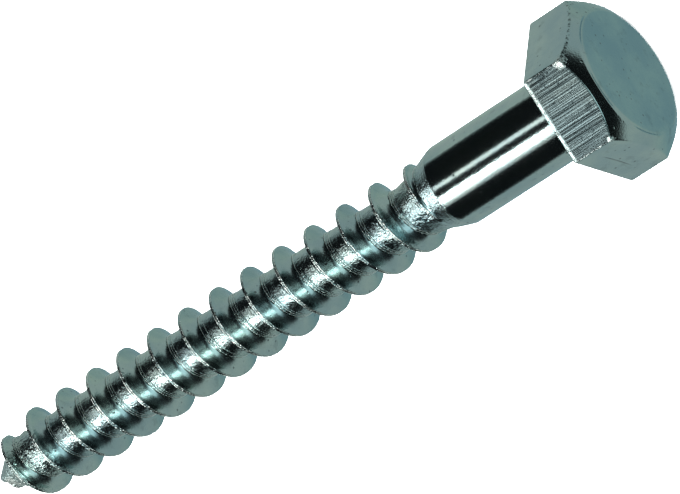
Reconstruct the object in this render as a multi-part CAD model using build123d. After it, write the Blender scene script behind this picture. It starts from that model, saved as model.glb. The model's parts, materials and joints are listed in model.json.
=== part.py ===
"""A hexagon-head lag screw, 8 mm by 65 mm: one solid, lying as it rests, with its head towards +X."""

import os
from math import asin, degrees, radians, sin, sqrt, tan

from build123d import *

# The screw is drawn upright, point down, with the bearing face under its head at z = 0.

# head
across_flats = 13.0
head_height = 5.25
crown_radius = 5.6
crown_reach = 7.8
crown_foot = head_height - (crown_reach - crown_radius) * tan(radians(35.5))
crown_bulge = 0.06
corner_rounding = 0.3
rim_chamfer = 0.28
neck_flare = 0.3

# shank, shoulder, and the thinner stem that the thread stands on
shank_radius = 3.6
shank_end = -13.5
shoulder_radius = 2.95
shoulder_end = -15.5
stem_radius = 2.42
stem_end = -18.2

# point
length = 65.9
point_angle = 35
point_slope = tan(radians(point_angle))
nose_radius = 0.42
nose_centre = nose_radius - length
point_apex = nose_centre - nose_radius / sin(radians(point_angle))

# thread: a right-hand ridge whose crest crosses the +X side at the height first_crest
pitch = 3.6
crest_radius = 3.7
crest_land = 0.34
flank_slope = tan(radians(22))
foot_height = 0.3
foot_slope = tan(radians(48))
foot_depth = 0.2
first_crest = 0.8

# over the point the crest dives into the nose along a quarter of an ellipse
dive_start = -59.6
dive_length = 5.7
dive_end = -65.25
dive_steps = 8
resting_crest = first_crest - 17 * pitch

# below the shoulder the crest sinks slowly, and then, in its last half turn, into the shoulder itself
full_turns = 11
fade_start = dive_start + full_turns * pitch
fade_knee = -16.3
fade_radius = 3.46
fade_end = -14.3
fade_steps = 8


def stem_surface(z):
    """Radius of the plain body under the thread."""
    if z > shoulder_end:
        return shoulder_radius + (shank_radius - shoulder_radius) * (z - shoulder_end) / (shank_end - shoulder_end)
    if z > stem_end:
        return stem_radius + (shoulder_radius - stem_radius) * (z - stem_end) / (shoulder_end - stem_end)
    return min(stem_radius, (z - point_apex) * point_slope)


def crest_surface(z):
    """Radius of the thread's crest."""
    if z > fade_knee:
        return fade_radius + (shoulder_radius - fade_radius) * (z - fade_knee) / (fade_end - fade_knee)
    if z > fade_start:
        return crest_radius + (fade_radius - crest_radius) * (z - fade_start) / (fade_knee - fade_start)
    dive = max(0.0, (dive_start - z) / dive_length)
    return crest_radius * sqrt(1 - dive * dive)


def hex_head():
    """The hexagon, chamfered round its lower rim, with its crown turned down to a flat circle."""
    hexagon = RegularPolygon(across_flats / 2, 6, major_radius=False, rotation=30)
    head = extrude(hexagon, head_height)
    head = fillet(head.edges().filter_by(Axis.Z), corner_rounding)
    head = chamfer(head.faces().sort_by(Axis.Z)[0].edges(), rim_chamfer)
    crown = SagittaArc((crown_reach, crown_foot), (crown_radius, head_height), crown_bulge)
    profile = crown + Polyline(crown @ 1, (0, head_height), (0, 0), (crown_reach, 0), crown @ 0)
    return head & revolve(Plane.XZ * make_face(profile))


def plain_body():
    """Shank, shoulder, stem and point, without the thread."""
    nose = CenterArc((0, nose_centre), nose_radius, -90, 90 - point_angle)
    side = Polyline(
        nose @ 1,
        (stem_radius, point_apex + stem_radius / point_slope),
        (stem_radius, stem_end),
        (shoulder_radius, shoulder_end),
        (shank_radius, shank_end),
        (shank_radius, -neck_flare),
        (shank_radius + neck_flare, 0),
        (0, 0),
        nose @ 0,
    )
    return revolve(Plane.XZ * make_face(nose + side))


def turned_to(z):
    """How far round the screw the ridge is at a height, in degrees."""
    return 360 * (z - first_crest) / pitch


def ridge_section(z):
    """The ridge cut along the screw's axis: a flat crest, steep flanks, and feet that spread into the body."""
    crest = crest_surface(z)
    root = min(stem_surface(z), crest - foot_height)
    base = max(foot_depth, root - foot_depth)
    land = crest_land / 2
    knee = root + min(foot_height, (crest - root) / 2)
    waist = land + (crest - knee) * flank_slope
    spread = waist + (knee - base) * foot_slope
    half = Polyline((base, 0), (base, spread), (knee, waist), (crest, land), (crest, 0))
    section = make_face(half + mirror(half, Plane.XZ))
    return Rot(0, 0, turned_to(z)) * Pos(0, 0, z) * Plane.XZ.location * section


def ridge(bottom, top, steps):
    """The ridge between two heights, through a section at the end of each step."""
    path = Rot(0, 0, turned_to(bottom)) * Helix(pitch, top - bottom, stem_radius, center=(0, 0, bottom))
    sections = [ridge_section(bottom + (top - bottom) * step / steps) for step in range(steps + 1)]
    return sweep(sections, path=path, is_frenet=True, multisection=True)


def thread():
    """The ridge in stretches: its dive over the point, its full turns, and its fade into the shoulder."""
    dive = ridge(dive_end, dive_start, dive_steps)
    turns = [ridge(dive_start + turn * pitch, dive_start + (turn + 1) * pitch, 1) for turn in range(full_turns)]
    fade = ridge(fade_start, fade_end, fade_steps)
    return [dive, *turns, fade]


def lag_screw():
    """The whole screw, upright, point down."""
    return hex_head().fuse(plain_body(), *thread())


def laid_down(screw):
    """The screw resting on its head's lower rim and on the thread's last full crest."""
    tilt = degrees(asin((across_flats / 2 - crest_radius) / (rim_chamfer - resting_crest)))
    lying = Rot(0, 90 - tilt, 0) * screw
    box = lying.bounding_box()
    return Pos(-box.center().X, -box.center().Y, -box.min.Z) * lying


screw = laid_down(lag_screw())
screw.label = "lag_screw"
os.makedirs("parts", exist_ok=True)
export_step(screw, "parts/lag_screw.step")
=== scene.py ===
"""A zinc-plated lag screw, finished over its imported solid: fine surfaces, plating, floor, lights and camera."""

import json
from math import atan, atan2, cos, hypot, pi, radians, sin, sqrt, tan
from random import Random

import bmesh
import bpy
from mathutils import Matrix, Vector, noise


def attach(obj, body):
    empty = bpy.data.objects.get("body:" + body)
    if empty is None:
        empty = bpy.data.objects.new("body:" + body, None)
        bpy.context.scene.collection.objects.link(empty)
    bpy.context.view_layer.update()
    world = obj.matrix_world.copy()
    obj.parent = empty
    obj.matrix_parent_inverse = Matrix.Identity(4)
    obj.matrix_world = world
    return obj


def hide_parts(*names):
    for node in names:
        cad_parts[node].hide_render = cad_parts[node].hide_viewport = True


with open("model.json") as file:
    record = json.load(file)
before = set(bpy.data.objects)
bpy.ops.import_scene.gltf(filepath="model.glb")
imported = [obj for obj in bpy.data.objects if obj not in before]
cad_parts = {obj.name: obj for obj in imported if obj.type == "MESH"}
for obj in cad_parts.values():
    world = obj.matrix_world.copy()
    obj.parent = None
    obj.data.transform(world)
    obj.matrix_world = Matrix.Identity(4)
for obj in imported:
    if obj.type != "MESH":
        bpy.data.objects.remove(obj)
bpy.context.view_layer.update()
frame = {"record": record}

# ---------------------------------------------------------------- the screw's own sizes, in millimetres

# The screw is made upright, point down, its bearing face at height 0, and then laid where the solid lies.
across_flats = 13.0
half_flats = across_flats / 2
# The wrench mount's place is rounded, this far above its flat.
mount_rounding = 0.0138
head_height = 5.25
crown_radius = 5.6
crown_reach = 7.8
crown_slope = tan(radians(35.5))
crown_bulge = 0.06
corner_rounding = 0.3
rim_height = 0.34

shank_radius = 3.6
shank_end = -13.5
shoulder_radius = 2.95
shoulder_end = -15.5
stem_radius = 2.42
stem_end = -18.2

length = 65.9
point_slope = tan(radians(35))
nose_radius = 0.42
nose_centre = nose_radius - length
point_apex = nose_centre - nose_radius / sin(radians(35))

pitch = 3.6
first_crest = 0.8
crest_radius = 3.7
lowest_crest = first_crest - 20 * pitch
turns_made = 17
half_land = 0.14
flank_slope = tan(radians(22))
foot_height = 0.95
foot_slope = tan(radians(36))
dive_start = -59.6
dive_length = 5.7
fade_start = -20.0
fade_knee = -16.3
fade_radius = 3.46
fade_end = -14.4

steps_per_turn = 96

# Where the point is knocked rough.
point_dent = Vector((-0.75, -1.07, -64.4))


def mixed(a, b, share):
    return a + (b - a) * share


def eased(share):
    share = min(1.0, max(0.0, share))
    return share * share * (3 - 2 * share)


def stem_surface(z):
    """Radius of the plain body under the thread."""
    if z > shank_end:
        return shank_radius
    if z > shoulder_end:
        return mixed(shoulder_radius, shank_radius, (z - shoulder_end) / (shank_end - shoulder_end))
    if z > stem_end:
        return mixed(stem_radius, shoulder_radius, (z - stem_end) / (shoulder_end - stem_end))
    return min(stem_radius, (z - point_apex) * point_slope)


def crest_surface(z):
    """Radius of the thread's crest."""
    if z > fade_knee:
        return mixed(fade_radius, shoulder_radius, (z - fade_knee) / (fade_end - fade_knee))
    if z > fade_start:
        return mixed(crest_radius, fade_radius, (z - fade_start) / (fade_knee - fade_start))
    dive = min(1.0, max(0.0, (dive_start - z) / dive_length))
    return crest_radius * sqrt(1 - dive * dive)


# ---------------------------------------------------------------- the thread

# Fine lines the rolling dies left on the root, on the ridge's head side: how far each lies beyond the
# foot, and its height.
rolling_marks = ((0.04, 0.055), (0.27, 0.05), (0.48, 0.045))
mark_half_width = 0.06


def thread_stations(headward):
    """The lines of the thread's mesh on one side of a ridge: each is a part of it and a place along it."""
    half = [("land", 0.35), ("land", 0.62), ("land", 0.85), ("land", 1.0)]
    half += [("flank", share) for share in (0.12, 0.5, 1.0)]
    half += [("foot", share) for share in (0.14, 0.28, 0.42, 0.56, 0.7, 0.85, 1.0)]
    if headward:
        for centre, height in rolling_marks:
            if centre > mark_half_width:
                half.append(("mark", centre - mark_half_width))
            half += [("mark", centre), ("mark", centre + mark_half_width)]
        half.append(("root", 0.86))
    else:
        half += [("root", share) for share in (0.1, 0.24, 0.38, 0.54, 0.7, 0.85)]
    return half + [("root", 1.0)]


def station_place(part, share, crest, root):
    """Distance from the ridge's middle, and radius, of a station on a ridge of this crest and root."""
    height = max(0.0, crest - root)
    width = max(0.06, height)
    foot = min(foot_height, 0.75 * width)
    waist = half_land + (width - foot) * flank_slope
    toe = waist + foot * foot_slope + 0.06
    if part == "land":
        # Rolling folds the crest over from both sides, which leaves two rounded lips and a fine groove between them.
        lip = min(1.0, height / 0.5) * 0.05 * (1 - 4 * share * (1.24 - share) / 1.24**2)
        return half_land * share, root + height - lip
    if part == "flank":
        return mixed(half_land, waist, share), root + mixed(0.975 * height, foot * height / width, share)
    if part == "foot":
        bend = waist + foot * flank_slope
        out = (1 - share) ** 2 * waist + 2 * share * (1 - share) * bend + share**2 * toe
        return out, root + (1 - share) ** 2 * foot * height / width
    if part == "mark":
        return toe + share, root
    return mixed(toe, pitch / 2, share), root


def mark_height(offset, place):
    """Height of the rolling marks at a distance beyond the foot: they come and go along the thread."""
    height = 0.0
    for index, (centre, top) in enumerate(rolling_marks):
        if abs(offset - centre) < mark_half_width / 2:
            strength = 0.75 + 1.6 * noise.noise(place * 0.5 + Vector((0, 0, 9 * index)))
            presence = 1.0 if index == 0 else eased(strength)
            height = top * presence
    return height


def lumpiness(z):
    """How lumpy the root is: it is rough where the thread starts over the point and where it runs out."""
    by_the_shoulder = eased((z + 21.5) / 2.5) * eased((shoulder_end + 1 - z) / 1.5)
    over_the_point = eased((-57.0 - z) / 1.4) * eased((z + 64.4) / 2)
    return max(by_the_shoulder, over_the_point)


def threaded_body(bm, worn, rolled, satin):
    """The thread with its stem, point and shoulder, spun from one pitch of its outline; returns its two end rings."""
    stations = [(-1, *station) for station in reversed(thread_stations(False))]
    stations += [(1, "land", 0.0)] + [(1, *station) for station in thread_stations(True)]
    verts = []
    for side, part, share in stations:
        out, radius = station_place(part, share, crest_radius, stem_radius)
        verts.append(bm.verts.new((radius, 0, lowest_crest + side * out)))
    edges = [bm.edges.new(pair) for pair in zip(verts, verts[1:])]
    bmesh.ops.spin(
        bm, geom=verts + edges, cent=(0, 0, 0), axis=(0, 0, 1), angle=2 * pi, steps=steps_per_turn,
        dvec=(0, 0, pitch / steps_per_turn), use_merge=False, use_duplicate=False,
    )
    one_turn = bm.verts[:] + bm.edges[:] + bm.faces[:]
    for turn in range(1, turns_made):
        copy = bmesh.ops.duplicate(bm, geom=one_turn)["geom"]
        copied = [part for part in copy if isinstance(part, bmesh.types.BMVert)]
        bmesh.ops.translate(bm, verts=copied, vec=(0, 0, turn * pitch))
    places = [station_place(part, share, crest_radius, stem_radius)[0] * side for side, part, share in stations]
    for vert in bm.verts:
        angle = atan2(vert.co.y, vert.co.x) % (2 * pi)
        above = vert.co.z - lowest_crest - pitch * angle / (2 * pi)
        turn = round(above / pitch)
        offset = above - turn * pitch
        nearest = min(range(len(places)), key=lambda index: abs(places[index] - offset))
        middle = lowest_crest + pitch * (turn + angle / (2 * pi))
        side, part, share = stations[nearest]
        crest = crest_surface(middle)
        root = max(0.0, stem_surface(middle))
        out, radius = station_place(part, share, crest, root)
        z = middle + side * out
        under = max(0.01, stem_surface(z))
        raised = (radius - root) / max(0.001, crest - root)
        radius = max(under, mixed(under, crest, raised))
        place = Vector((radius * cos(angle), radius * sin(angle), z))
        ridge_height = min(1.0, max(0.0, crest - root) / 0.6)
        if part == "mark":
            radius += ridge_height * mark_height(share, place)
        if part == "land" and share < 0.9:
            radius -= ridge_height * (0.015 + 0.04 * noise.noise(place * 2.9))
        if part in ("mark", "root") or (part == "foot" and share > 0.8):
            rough = (0.0015 + 0.08 * lumpiness(z)) * min(1.0, root / 1.5)
            radius -= rough * (1 + 0.8 * noise.noise(place * 1.4) + 1.0 * noise.noise(place * 3.9))
        vert.co = (radius * cos(angle), radius * sin(angle), z)
        if part == "land" and share > 0.3:
            present = min(1.0, max(0.0, crest - root) / 0.15)
            vert[worn] = present * (0.45 + 0.5 * noise.noise(place * 1.1) + 0.5 * noise.noise(place * 4.3))
        if part in ("land", "flank") and crest > root:
            vert[worn] = max(vert[worn], 0.5 * eased((-62.6 - z) / 0.9))
            vert[rolled] = max(0.6 * lumpiness(z), 1.6 * eased((-62.6 - z) / 0.9))
        if part in ("mark", "root") or (part == "foot" and share > 0.9):
            vert[rolled] = 1.0 + lumpiness(z)
        if part == "mark":
            vert[worn] = ridge_height * 14 * mark_height(share, place)
        if part == "foot" and share < 0.95:
            vert[satin] = 1.0
        if z < -62:
            struck = max(0.0, 1 - (vert.co - point_dent).length / 1.5)
            vert[worn] = max(vert[worn], 1.2 * struck)
            vert[rolled] = max(vert[rolled], 1.4 + 0.6 * struck)
    bmesh.ops.remove_doubles(bm, verts=bm.verts, dist=0.0001)
    rings = []
    for height, outer in ((nose_centre - nose_radius * sin(radians(22)), False), (shank_end - 0.12, True)):
        cut = bmesh.ops.bisect_plane(
            bm, geom=bm.verts[:] + bm.edges[:] + bm.faces[:], dist=0.0001, plane_co=(0, 0, height),
            plane_no=(0, 0, 1), clear_outer=outer, clear_inner=not outer,
        )["geom_cut"]
        rings.append([edge for edge in cut if isinstance(edge, bmesh.types.BMEdge)])
    return rings


def drawn_on(bm, ring, radius, z, rolled, roughened):
    """Extrudes a ring of edges to a circle of another radius and height, each vertex keeping its angle."""
    made = bmesh.ops.extrude_edge_only(bm, edges=ring)["geom"]
    for vert in made:
        if isinstance(vert, bmesh.types.BMVert):
            share = radius / hypot(vert.co.x, vert.co.y)
            vert.co = (vert.co.x * share, vert.co.y * share, z)
            vert[rolled] = roughened
    return [edge for edge in made if isinstance(edge, bmesh.types.BMEdge)]


def screw_body(bm, worn, rolled, satin):
    """The thread, the rounded nose and the shank; returns the ring where the shank meets the bearing face."""
    nose_ring, shoulder_ring = threaded_body(bm, worn, rolled, satin)
    for angle in (35, 48, 62, 76):
        turn = radians(angle)
        nose_ring = drawn_on(bm, nose_ring, nose_radius * cos(turn), nose_centre - nose_radius * sin(turn), rolled, 1.5)
    bmesh.ops.contextual_create(bm, geom=nose_ring)
    neck = (
        (3.597, -13.46), (3.6, -13.35), (3.6, -10), (3.6, -5), (3.6, -0.42),
        (3.62, -0.25), (3.69, -0.1), (3.8, -0.03), (3.9, 0),
    )
    for radius, z in neck:
        shoulder_ring = drawn_on(bm, shoulder_ring, radius, z, rolled, 0.0)
    return shoulder_ring


# ---------------------------------------------------------------- the head

# One flat has a shallow scratch: how far up the flat it is, the flat's angle, and where it starts and ends.
scratch_share = 0.372
scratched_angle = 4 * pi / 3
scratch_start, scratch_end = -2.4, 1.9

# The flat that faces up has many more lines than the others, for its deep scratches.
up_columns = 120
plain_columns = 32
head_columns = up_columns + 5 * plain_columns


def column_angle(index):
    """Angle of a column of the head's mesh: evenly along each flat, and closer together at its corners."""
    if index < up_columns:
        along = 2 * index / up_columns - 1
        middle = pi
    else:
        flat, step = divmod(index - up_columns, plain_columns)
        along = 2 * step / plain_columns - 1
        middle = pi + (flat + 1) * pi / 3
    end = 1 - (1 - abs(along)) ** 1.6
    spread = end if along > 0 else -end
    return middle + atan(spread * tan(pi / 6))


def outline(angle, inset=0.0):
    """Radius of the hexagon at an angle, with its corners rounded, drawn in by inset."""
    turn = (angle + pi / 6) % (pi / 3) - pi / 6
    reach = half_flats - inset
    rounding = max(0.02, corner_rounding - inset)
    corner = (reach - rounding) / cos(pi / 6)
    if reach * tan(abs(turn)) < reach * tan(pi / 6) - rounding * tan(pi / 6):
        return reach / cos(turn)
    off = pi / 6 - abs(turn)
    return corner * cos(off) + sqrt(rounding**2 - (corner * sin(off)) ** 2)


def crown_height(radius):
    """Height of the crown at a radius."""
    share = (radius - crown_radius) / (crown_reach - crown_radius)
    return head_height - (radius - crown_radius) * crown_slope + 4 * crown_bulge * share * (1 - share)


def scratch_depths():
    """Depth of the die's scratches in each column of the flat that faces up."""
    chance = Random(7)
    depths = []
    for index in range(up_columns):
        depth = chance.uniform(0.0, 0.003)
        if chance.random() < 0.7 and (index == 0 or depths[-1] < 0.005):
            depth += chance.uniform(0.006, 0.028)
        depths.append(depth)
    return depths


def screw_head(bm, worn, brushed, pitted):
    """The head from the rim of its bearing face up; returns the ring of that rim."""
    circle = bmesh.ops.create_circle(bm, cap_ends=False, radius=1, segments=head_columns)["verts"]
    first = list({edge for vert in circle for edge in vert.link_edges})
    angles = [column_angle(index) for index in range(head_columns)]
    depths = scratch_depths()

    # Each level is a rule from a column's angle to its radius and height.
    levels = []
    for inset, z in ((0.28, 0.0), (0.18, 0.03), (0.11, 0.09), (0.055, 0.17), (0.02, 0.25), (0.0, rim_height)):
        levels.append(("rim", lambda angle, inset=inset, z=z: (outline(angle, inset), z)))
    side_shares = (
        0.05, 0.1, 0.18, 0.26, 0.31, 0.347, scratch_share, 0.397, 0.44, 0.5, 0.58, 0.66, 0.74, 0.82, 0.89, 0.94, 0.97,
    )
    for share in side_shares:
        def up_the_side(angle, share=share):
            radius = outline(angle)
            return radius, mixed(rim_height, crown_height(radius), share)
        levels.append(("scratch" if share == scratch_share else "side", up_the_side))
    levels.append(("edge", lambda angle: (outline(angle) - 0.012, crown_height(outline(angle)) - 0.02)))
    for share in (0.03, 0.08, 0.2, 0.35, 0.5, 0.65, 0.8, 0.92):
        def crown(angle, share=share):
            radius = mixed(outline(angle), crown_radius, share)
            return radius, crown_height(radius) - (0.004 if share < 0.05 else 0)
        levels.append(("crown", crown))
    for inset, drop in ((-0.08, 0.065), (0.0, 0.03), (0.1, 0.008), (0.22, 0.0)):
        ring = (crown_radius - inset, head_height - drop)
        levels.append(("top", lambda angle, ring=ring: ring))
    for radius in (5.0, 4.4, 3.7, 3.0, 2.3, 1.6, 0.9, 0.4):
        levels.append(("top", lambda angle, radius=radius: (radius, head_height)))

    rings = [first]
    for level in levels[1:]:
        made = bmesh.ops.extrude_edge_only(bm, edges=rings[-1])["geom"]
        rings.append([edge for edge in made if isinstance(edge, bmesh.types.BMEdge)])
    # The vertices of one column still share one even angle, which tells the column each belongs to.
    owners = {}
    for ring, level in zip(rings, levels):
        for vert in {vert for edge in ring for vert in edge.verts}:
            column = round(atan2(vert.co.y, vert.co.x) / (2 * pi) * head_columns) % head_columns
            owners[vert] = (column, level)
    corners = []
    for side, reach in ((-1, 1.0), (1, 0.55)):
        angle = pi + side * pi / 6
        radius = outline(angle)
        corners.append((Vector((radius * cos(angle), radius * sin(angle), crown_height(radius))), reach))
    sides = ("side", "scratch", "edge")
    for vert, (index, (zone, level)) in owners.items():
        radius, z = level(angles[index])
        vert.co = (radius * cos(angles[index]), radius * sin(angles[index]), z)
        nearness = max(1 - (vert.co - corner).length / reach for corner, reach in corners)
        vert[worn] = max(0.0, nearness) * (1.0 if zone in sides and index < up_columns else 0.45)
        if zone == "rim":
            vert[worn] = 0.24 + 0.3 * noise.noise(vert.co * 1.9)
        if zone in sides and abs(abs(angles[index] - pi) - pi / 6) < 0.013:
            vert[worn] = max(vert[worn], 0.28 + 0.4 * noise.noise(vert.co * 2.3))
        beside_the_edge = zone in ("edge", "crown") and radius > outline(angles[index]) - 0.15
        if index > head_columns - plain_columns and beside_the_edge:
            vert[pitted] = 1.0
        if index < up_columns and index > 0:
            if zone in sides:
                along = 0.65 + 0.6 * noise.noise(Vector((index * 0.9, z * 0.55, 0)))
                vert.co.x += depths[index] * along * eased(min(index, up_columns - index) / 3)
                # The scored flat is darkened in the plating's colour: a darker scored tone all over, plus painted shade
                # that deepens with each groove's depth.
                vert[brushed] = 0.8 + 12 * depths[index]
            elif zone == "rim":
                vert.co.x += 0.012 * (1 + noise.noise(vert.co * 2.3))
        if zone == "scratch" and abs(angles[index] - scratched_angle) < pi / 6:
            along = half_flats * tan(angles[index] - scratched_angle)
            depth = eased((along - scratch_start) / 0.9) * eased((scratch_end - along) / 1.6)
            vert.co -= 0.02 * depth * Vector((cos(scratched_angle), sin(scratched_angle), 0))
            # The scratch's colour darkens with its depth: painted shade in the scratch.
            vert[brushed] = 0.6 * depth
    bmesh.ops.contextual_create(bm, geom=rings[-1])
    return first


def make_screw():
    bm = bmesh.new()
    worn = bm.verts.layers.float.new("worn")
    rolled = bm.verts.layers.float.new("rolled")
    brushed = bm.verts.layers.float.new("brushed")
    pitted = bm.verts.layers.float.new("pitted")
    satin = bm.verts.layers.float.new("satin")
    neck = screw_body(bm, worn, rolled, satin)
    rim = screw_head(bm, worn, brushed, pitted)
    bmesh.ops.triangle_fill(bm, use_beauty=True, edges=neck + rim, normal=(0, 0, -1))
    bmesh.ops.recalc_face_normals(bm, faces=bm.faces)
    wrench = next(mount for mount in frame["record"]["mounts"] if mount["name"] == "wrench_flat")
    shank = next(mount for mount in frame["record"]["mounts"] if mount["name"] == "shank")
    headwards = -Vector(shank["axis"])
    down = -Vector(wrench["axis"])
    origin = Vector(wrench["pos_m"]) + down * (half_flats + mount_rounding) / 1000 - headwards * 2.5 / 1000
    lying = Matrix((down, headwards.cross(down), headwards)).transposed().to_4x4()
    bm.transform(Matrix.Translation(origin) @ lying @ Matrix.Scale(0.001, 4))
    for face in bm.faces:
        face.smooth = True
    mesh = bpy.data.meshes.new("screw")
    bm.to_mesh(mesh)
    bm.free()
    screw = bpy.data.objects.new("screw", mesh)
    bpy.context.scene.collection.objects.link(screw)
    return screw


screw = make_screw()
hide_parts("lag_screw")
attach(screw, "root")

# ---------------------------------------------------------------- plating


class Link:
    """One output of a node. Arithmetic on it adds the Math nodes."""

    def __init__(self, nodes, socket):
        self.nodes = nodes
        self.socket = socket

    def __add__(self, other):
        return self.nodes.maths("ADD", self, other)

    __radd__ = __add__

    def __sub__(self, other):
        return self.nodes.maths("SUBTRACT", self, other)

    def __rsub__(self, other):
        return self.nodes.maths("SUBTRACT", other, self)

    def __mul__(self, other):
        return self.nodes.maths("MULTIPLY", self, other)

    __rmul__ = __mul__


class Nodes:
    """The nodes of a finish, or of the surroundings."""

    def __init__(self, owner):
        owner.use_nodes = True
        self.tree = owner.node_tree
        self.tree.nodes.clear()

    def add(self, kind, settings=None, inputs=None, output=0):
        made = self.tree.nodes.new(kind)
        for name, value in (settings or {}).items():
            if name == "stops":
                while len(made.color_ramp.elements) < len(value):
                    made.color_ramp.elements.new(1.0)
                for element, (position, colour) in zip(made.color_ramp.elements, value):
                    element.position = position
                    element.color = (*colour, 1)
            else:
                setattr(made, name, value)
        for name, value in (inputs or {}).items():
            if isinstance(value, Link):
                self.tree.links.new(value.socket, made.inputs[name])
            else:
                made.inputs[name].default_value = value
        return Link(self, made.outputs[output]) if made.outputs else None

    def maths(self, operation, first, second=0.0):
        return self.add("ShaderNodeMath", {"operation": operation}, {0: first, 1: second})

    def rising(self, value, low, high):
        """0 below low, 1 above high, and smooth between them."""
        return self.add("ShaderNodeMapRange", {"interpolation_type": "SMOOTHSTEP"}, {0: value, 1: low, 2: high})

    def mixed(self, share, first, second):
        """A colour between two."""
        return self.add("ShaderNodeMix", {"data_type": "RGBA"}, {0: share, 6: first, 7: second}, output=2)

    def mottle(self, place, scale, detail, roughness):
        """Soft random patches, of a size that shrinks as the scale grows."""
        sockets = {"Vector": place, "Scale": scale, "Detail": detail, "Roughness": roughness}
        return self.add("ShaderNodeTexNoise", inputs=sockets)

    def mask(self, name):
        return self.add("ShaderNodeAttribute", {"attribute_name": name}, output="Fac")


def zinc_plating():
    material = bpy.data.materials.new("zinc_plating")
    nodes = Nodes(material)
    place = nodes.add("ShaderNodeTexCoord", output="Object")
    worn = nodes.mask("worn")
    rolled = nodes.mask("rolled")
    brushed = nodes.mask("brushed")
    pitted = nodes.mask("pitted")
    satin = nodes.mask("satin")

    stain = nodes.mottle(place, 170.0, 6.0, 0.65)
    cloud = nodes.mottle(place, 900.0, 4.0, 0.6)
    grain = nodes.mottle(place, 6500.0, 2.0, 0.5)
    lumps = nodes.mottle(place, 3500.0, 2.0, 0.6)
    lengthwise = nodes.add("ShaderNodeMapping", inputs={"Vector": place, "Scale": (60.0, 4500.0, 60.0)})
    scratches = nodes.mottle(lengthwise, 1.0, 2.0, 0.65)
    around = nodes.add("ShaderNodeMapping", inputs={"Vector": place, "Scale": (7000.0, 600.0, 600.0)})
    rolling_lines = nodes.mottle(around, 1.0, 2.0, 0.6)
    cell = {"Vector": place, "Scale": 2600.0}
    pit_distance = nodes.add("ShaderNodeTexVoronoi", inputs=cell, output="Distance")
    pit_chance = nodes.add("ShaderNodeTexVoronoi", inputs=cell, output="Color")
    pits = (1 - nodes.rising(pit_distance, 0.1, 0.35)) * nodes.rising(pit_chance + 0.55 * pitted, 0.79, 0.83)

    chips = pitted * nodes.rising(lumps, 0.5, 0.6)
    smudge = nodes.rising(cloud, 0.56, 0.7)
    frosted = nodes.rising(worn + 0.6 * (grain - 0.5), 0.15, 0.6)
    lumpy = nodes.rising(rolled, 1.0, 1.7)
    lined = rolled - lumpy
    rough_roots = lined * nodes.rising(cloud, 0.35, 0.6)
    scored_and_shaded = brushed * (1 - frosted)
    strokes = nodes.rising(scratches, 0.38, 0.62)
    roughness = 0.08 + 0.07 * cloud + 0.05 * lined + 0.1 * satin + 0.24 * scored_and_shaded + 0.14 * frosted
    height = 0.12 * (1 - 0.7 * satin) * cloud + 0.12 * (1 - scored_and_shaded) * grain
    height = height + (0.35 * lined + 0.5 * rough_roots + 0.9 * frosted) * grain
    height = height + (1.9 * lumpy + 0.35 * lined + 1.2 * frosted) * lumps
    height = height + 0.85 * lined * rolling_lines + 1.1 * scored_and_shaded * scratches - 0.2 * pits - 0.3 * chips
    relief = nodes.add("ShaderNodeBump", inputs={"Height": height, "Distance": 0.00006, "Strength": 0.8})
    stained = nodes.rising(stain, 0.35, 0.65)
    plain = nodes.mixed(stained, (0.37, 0.50, 0.51, 1), (0.48, 0.60, 0.56, 1))
    bright = nodes.mixed(0.85 * frosted, plain, (0.87, 0.92, 0.86, 1))
    # Darker at pits, chips and smudges, and on the scored flat: its darker scored tone plus painted shade in its
    # grooves.
    dark = 0.6 * pits + 0.7 * chips + 0.16 * smudge + scored_and_shaded * (0.9 + 0.16 * strokes)
    colour = nodes.mixed(dark, bright, (0.035, 0.05, 0.052, 1))
    metal = nodes.add("ShaderNodeBsdfPrincipled", inputs={
        "Base Color": colour, "Metallic": 1.0, "Roughness": roughness, "Normal": relief,
    })
    nodes.add("ShaderNodeOutputMaterial", inputs={"Surface": metal})
    return material


screw.data.materials.append(zinc_plating())

# ---------------------------------------------------------------- floor, lights and camera


def make_floor():
    bm = bmesh.new()
    bmesh.ops.create_grid(bm, x_segments=1, y_segments=1, size=1.5)
    mesh = bpy.data.meshes.new("floor")
    bm.to_mesh(mesh)
    bm.free()
    floor = bpy.data.objects.new("floor", mesh)
    bpy.context.scene.collection.objects.link(floor)
    material = bpy.data.materials.new("floor_paper")
    nodes = Nodes(material)
    paper = nodes.add("ShaderNodeBsdfDiffuse", inputs={"Color": (0.93, 0.93, 0.93, 1)})
    nodes.add("ShaderNodeOutputMaterial", inputs={"Surface": paper})
    mesh.materials.append(material)
    floor.visible_glossy = False


def make_overhead_light():
    """A wide lamp straight above, which lights the floor and isn't mirrored in the metal."""
    lamp = bpy.data.lights.new("overhead", "AREA")
    lamp.shape = "RECTANGLE"
    lamp.size, lamp.size_y = 1.4, 1.4
    lamp.energy = 130
    light = bpy.data.objects.new("overhead", lamp)
    light.matrix_world = Matrix.Translation((0, 0, 1.2))
    light.visible_glossy = False
    bpy.context.scene.collection.objects.link(light)


def make_camera():
    target = Vector((0.004943, 0.000841, 0.006))
    elevation = radians(62.58)
    lean = radians(-123.27)
    distance = 0.4962
    away = Vector((cos(elevation), 0.001, sin(elevation)))
    level = (-away).cross(Vector((0, 0, 1))).normalized()
    upright = level.cross(-away).normalized()
    right = level * cos(lean) + upright * sin(lean)
    up = upright * cos(lean) - level * sin(lean)
    lens = bpy.data.cameras.new("camera")
    lens.lens = 322.5
    lens.sensor_width = 36
    lens.clip_start = 0.05
    lens.clip_end = 10
    camera = bpy.data.objects.new("camera", lens)
    turn = Matrix((right, up, away)).transposed().to_4x4()
    camera.matrix_world = Matrix.Translation(target + away * distance) @ turn
    bpy.context.scene.collection.objects.link(camera)
    bpy.context.scene.camera = camera


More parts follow.
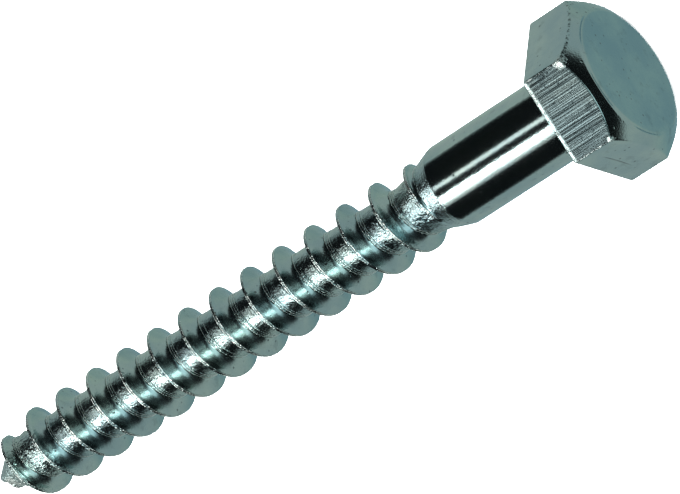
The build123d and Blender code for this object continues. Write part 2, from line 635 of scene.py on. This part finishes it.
def make_surroundings():
    """What the metal mirrors: a dark room with long soft strips overhead, and a pale table all round below."""
    world = bpy.data.worlds.new("studio")
    nodes = Nodes(world)
    way = nodes.add("ShaderNodeTexCoord", output="Generated")
    headward = nodes.add("ShaderNodeSeparateXYZ", inputs={0: way}, output="X")
    sideways = nodes.add("ShaderNodeSeparateXYZ", inputs={0: way}, output="Y")
    upward = nodes.add("ShaderNodeSeparateXYZ", inputs={0: way}, output="Z")
    around = nodes.maths("ARCTAN2", sideways, upward)

    def strip(low, low_soft, high, high_soft):
        """A band from one angle to another across the screw, in degrees, each edge as soft as given."""
        starts = nodes.rising(around, radians(low - low_soft), radians(low + low_soft))
        ends = nodes.rising(around, radians(high - high_soft), radians(high + high_soft))
        return starts * starts * (1 - ends)

    table = nodes.add("ShaderNodeValToRGB", {"stops": (
        (0.06, (0.25, 0.372, 0.4)),
        (0.13, (0.36, 0.45, 0.44)),
        (0.2, (0.41, 0.468, 0.46)),
        (0.425, (0.42, 0.48, 0.475)),
        (0.47, (0.008, 0.009, 0.01)),
    )}, {0: 0.5 + 0.5 * upward})
    overhead = nodes.rising(headward, -0.72, -0.62) * (1 - nodes.rising(headward, -0.36, -0.1))
    over_the_head = nodes.rising(headward, -0.36, -0.05) * (1 - nodes.rising(headward, 0.92, 0.97))
    wide, bright, narrow = strip(-30, 17, -8.5, 3.5), strip(-19, 6, -8.5, 3.5), strip(15, 2, 25, 2)
    past_the_point = strip(-26, 8, 42, 8) * (1 - nodes.rising(headward, -0.84, -0.74))
    white = (wide * 5.5 + bright * 7.0 + narrow * 1.6) * overhead + past_the_point * 4.5
    cool = strip(-36, 14, 10, 16) * over_the_head
    warm = nodes.rising(sideways, 0.05, 0.3) * (1 - nodes.rising(upward, -0.8, -0.6))
    lit = nodes.add("ShaderNodeCombineXYZ", inputs={
        0: white + 0.95 * cool + 0.07 * warm,
        1: white + 1.25 * cool + 0.05 * warm,
        2: white + 1.3 * cool + 0.01 * warm,
    })
    total = nodes.add("ShaderNodeVectorMath", {"operation": "ADD"}, {0: table, 1: lit})
    sky = nodes.add("ShaderNodeBackground", inputs={"Color": total})
    nodes.add("ShaderNodeOutputWorld", inputs={"Surface": sky})
    bpy.context.scene.world = world


make_floor()
make_camera()
make_surroundings()
make_overhead_light()
bpy.context.scene.view_settings.view_transform = "Standard"
